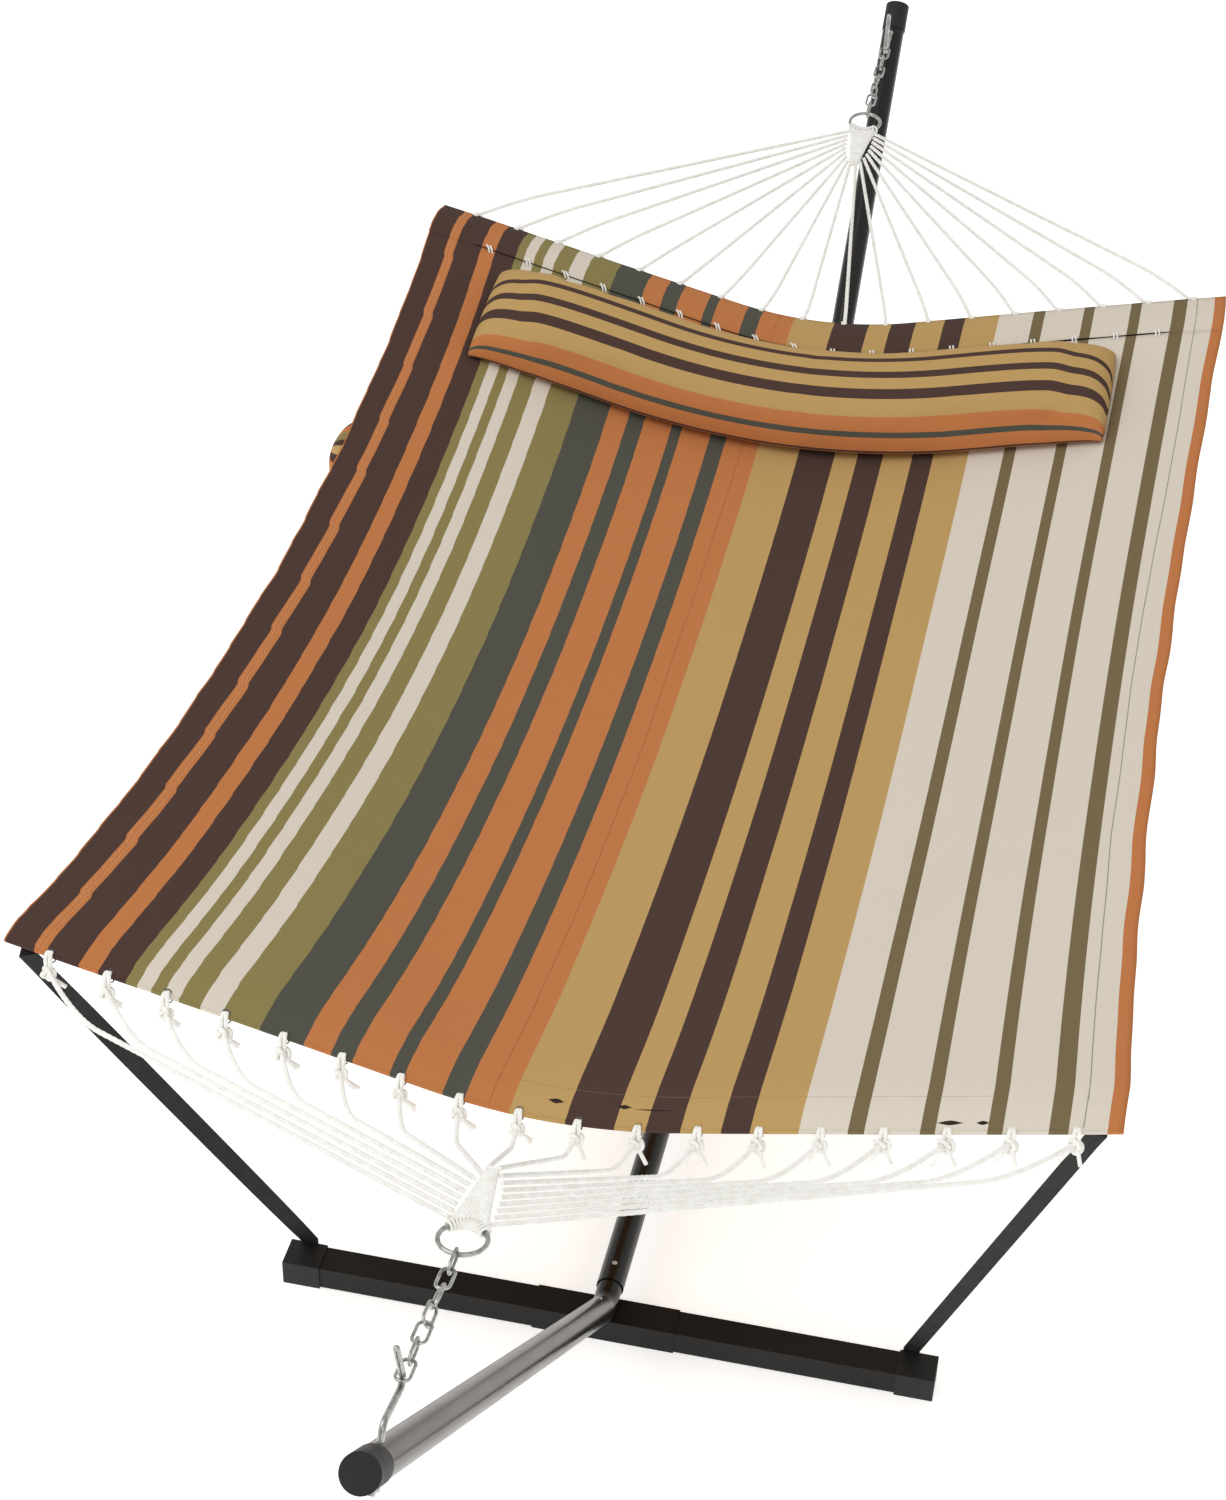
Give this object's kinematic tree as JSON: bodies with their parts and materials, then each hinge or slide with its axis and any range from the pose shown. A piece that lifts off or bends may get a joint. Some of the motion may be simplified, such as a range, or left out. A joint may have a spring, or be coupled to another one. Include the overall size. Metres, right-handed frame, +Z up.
{
  "type": "hammock on stand",
  "caption": "Quilted striped hammock bed with spreader bars, fanned ropes and a long pillow, hung by chains from hooks on a sloping tube stand with crossbar feet.",
  "frame": {"origin": "on the floor, under the middle of the hammock", "axes": "+X to the right seen from the foot end, +Y along the hammock to the pillow end, +Z up"},
  "size_m": [1.4365, 3.724, 1.1224],
  "materials": {
    "tube": "gloss black powder coat",
    "cap_plastic": "matt black moulded plastic",
    "zinc": "bright zinc plate",
    "spring_steel": "dull spring steel",
    "bar_wood": "dark brown stained hardwood",
    "striped_cloth": "quilted outdoor cloth with lengthwise stripes",
    "pillow_cloth": "the same striped cloth, filled",
    "rope": "cream polyester rope",
    "eyelet_metal": "dark grey plated metal",
    "webbing": "black polyester webbing"
  },
  "bodies": {
    "stand": {"base_tube": "tube", "foot_elbow": "tube", "foot_arm": "tube", "foot_crossbar_sleeve": "tube", "foot_saddle": "tube", "foot_crossbar_left": "tube", "foot_crossbar_right": "tube", "foot_arm_cap": "cap_plastic", "foot_left_foot_cap": "cap_plastic", "foot_right_foot_cap": "cap_plastic", "foot_hook": "zinc", "foot_hook_nut": "zinc", "head_elbow": "tube", "head_arm": "tube", "head_crossbar_sleeve": "tube", "head_saddle": "tube", "head_crossbar_left": "tube", "head_crossbar_right": "tube", "head_arm_cap": "cap_plastic", "head_left_foot_cap": "cap_plastic", "head_right_foot_cap": "cap_plastic", "head_hook": "zinc", "head_hook_nut": "zinc", "sleeve_screws": "zinc", "tab_rivets": "zinc", "strap_tabs": "webbing", "button_springs": "spring_steel"},
    "hammock": {"bed": "striped_cloth", "side_pouch": "striped_cloth", "foot_bar_sleeve": "striped_cloth", "foot_spreader_bar": "bar_wood", "foot_eyelets": "eyelet_metal", "foot_knots": "rope", "foot_clew": "rope", "foot_ring": "zinc", "foot_chain": "zinc", "foot_ropes_left": "rope", "foot_ropes_right": "rope", "foot_strap_left": "webbing", "foot_strap_right": "webbing", "head_bar_sleeve": "striped_cloth", "head_spreader_bar": "bar_wood", "head_eyelets": "eyelet_metal", "head_knots": "rope", "head_clew": "rope", "head_ring": "zinc", "head_chain": "zinc", "head_ropes_left": "rope", "head_ropes_right": "rope", "head_strap_left": "webbing", "head_strap_right": "webbing"},
    "pillow": {"pillow": "pillow_cloth"},
    "foot_base_button": {"foot_base_button": "zinc"},
    "foot_arm_button": {"foot_arm_button": "zinc"},
    "head_base_button": {"head_base_button": "zinc"},
    "head_arm_button": {"head_arm_button": "zinc"}
  },
  "joints": [
    {"name": "hammock_swing", "type": "hinge", "parent": "stand", "child": "hammock", "pos_m": [0, 0, 1.05703], "axis": [0, 1, 0], "range_deg": [-4, 4], "stiffness_Nm_per_rad": 400},
    {"name": "pillow_lift", "type": "slide", "parent": "hammock", "child": "pillow", "axis": [0, 0, 1], "range_m": [0, 0.2]},
    {"name": "foot_base_button_press", "type": "slide", "parent": "stand", "child": "foot_base_button", "axis": [0, 0, -1], "range_m": [0, 0.004], "stiffness_N_per_m": 1000, "springref_m": -0.002},
    {"name": "foot_arm_button_press", "type": "slide", "parent": "stand", "child": "foot_arm_button", "axis": [0, -0.6587, -0.7524], "range_m": [0, 0.004], "stiffness_N_per_m": 1000, "springref_m": -0.002},
    {"name": "head_base_button_press", "type": "slide", "parent": "stand", "child": "head_base_button", "axis": [0, 0, -1], "range_m": [0, 0.004], "stiffness_N_per_m": 1000, "springref_m": -0.002},
    {"name": "head_arm_button_press", "type": "slide", "parent": "stand", "child": "head_arm_button", "axis": [0, 0.6587, -0.7524], "range_m": [0, 0.004], "stiffness_N_per_m": 1000, "springref_m": -0.002}
  ]
}
